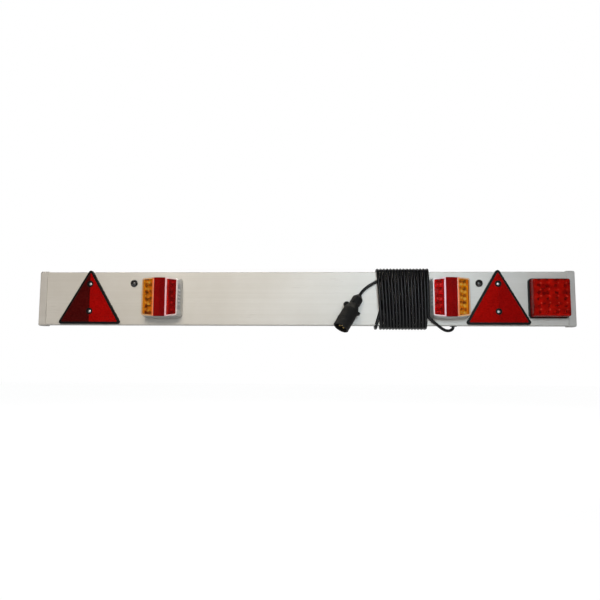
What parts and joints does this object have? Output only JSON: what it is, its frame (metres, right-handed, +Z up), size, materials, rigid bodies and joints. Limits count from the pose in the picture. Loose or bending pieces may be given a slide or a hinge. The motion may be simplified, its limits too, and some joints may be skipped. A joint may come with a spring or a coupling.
{
  "type": "trailer lighting board",
  "caption": "Long hollow trailer lighting board with combination rear lamps, red triangular reflectors, a fog lamp, and a cable wound round it that ends in a multi-pin plug.",
  "frame": {"origin": "midway between the two mounting bolts, on the plane where a bracket bears on their flange nuts", "axes": "+X along the board to the right as seen facing the lamps, +Y from the lamps towards the trailer, along the bolts, +Z up"},
  "size_m": [1.372, 0.1228, 0.1663],
  "materials": {
    "plank_plastic": "satin light grey",
    "cap_plastic": "satin light grey",
    "zinc_steel": "bright zinc",
    "bolt_cap_plastic": "gloss black",
    "gasket_rubber": "matt black",
    "cable_sheath": "semi-gloss black",
    "plug_plastic": "matt black",
    "pin_brass": "turned",
    "reflector_black": "satin black",
    "reflex_red": "gloss red, prismatic behind",
    "red_lens": "gloss red, clear",
    "amber_lens": "gloss amber, clear",
    "clear_window": "gloss, clear",
    "lamp_housing_plastic": "gloss silver grey",
    "lamp_base_plastic": "satin grey",
    "circuit_board": "satin green",
    "metallised_plastic": "vacuum metallised",
    "diode": "moulded"
  },
  "bodies": {
    "root": {"plank": "plank_plastic", "end_cap_left": "cap_plastic", "end_cap_right": "cap_plastic", "mounting_bolts": "zinc_steel", "mounting_bolt_caps": "bolt_cap_plastic", "mounting_flange_nuts": "zinc_steel", "reflector_screws": "zinc_steel", "lamp_bolts": "zinc_steel", "lamp_washers": "zinc_steel", "lamp_nuts": "zinc_steel", "inner_wiring": "cable_sheath", "cable_grommet": "gasket_rubber", "cable_tail": "cable_sheath", "cable_coil": "cable_sheath", "cable_lead": "cable_sheath", "plug_shell": "plug_plastic", "plug_gland_nut": "plug_plastic", "plug_seal": "gasket_rubber", "plug_insert": "plug_plastic", "plug_pins": "pin_brass", "left_reflector_base": "reflector_black", "left_reflector_lens": "reflex_red", "left_lamp_gasket": "gasket_rubber", "left_lamp_base": "lamp_base_plastic", "left_lamp_housing": "lamp_housing_plastic", "left_lamp_amber_lens": "amber_lens", "left_lamp_red_lens": "red_lens", "left_lamp_reflex_band": "reflex_red", "left_lamp_plate_window": "clear_window", "left_lamp_circuit_board": "circuit_board", "left_lamp_reflector_tray": "metallised_plastic", "left_lamp_diodes": "diode", "right_reflector_base": "reflector_black", "right_reflector_lens": "reflex_red", "right_lamp_gasket": "gasket_rubber", "right_lamp_base": "lamp_base_plastic", "right_lamp_housing": "lamp_housing_plastic", "right_lamp_amber_lens": "amber_lens", "right_lamp_red_lens": "red_lens", "right_lamp_reflex_band": "reflex_red", "right_lamp_plate_window": "clear_window", "right_lamp_circuit_board": "circuit_board", "right_lamp_reflector_tray": "metallised_plastic", "right_lamp_diodes": "diode", "fog_lamp_base": "reflector_black", "fog_lamp_lens": "red_lens", "fog_lamp_circuit_board": "circuit_board", "fog_lamp_reflector_tray": "metallised_plastic", "fog_lamp_diodes": "diode"}
  },
  "joints": []
}
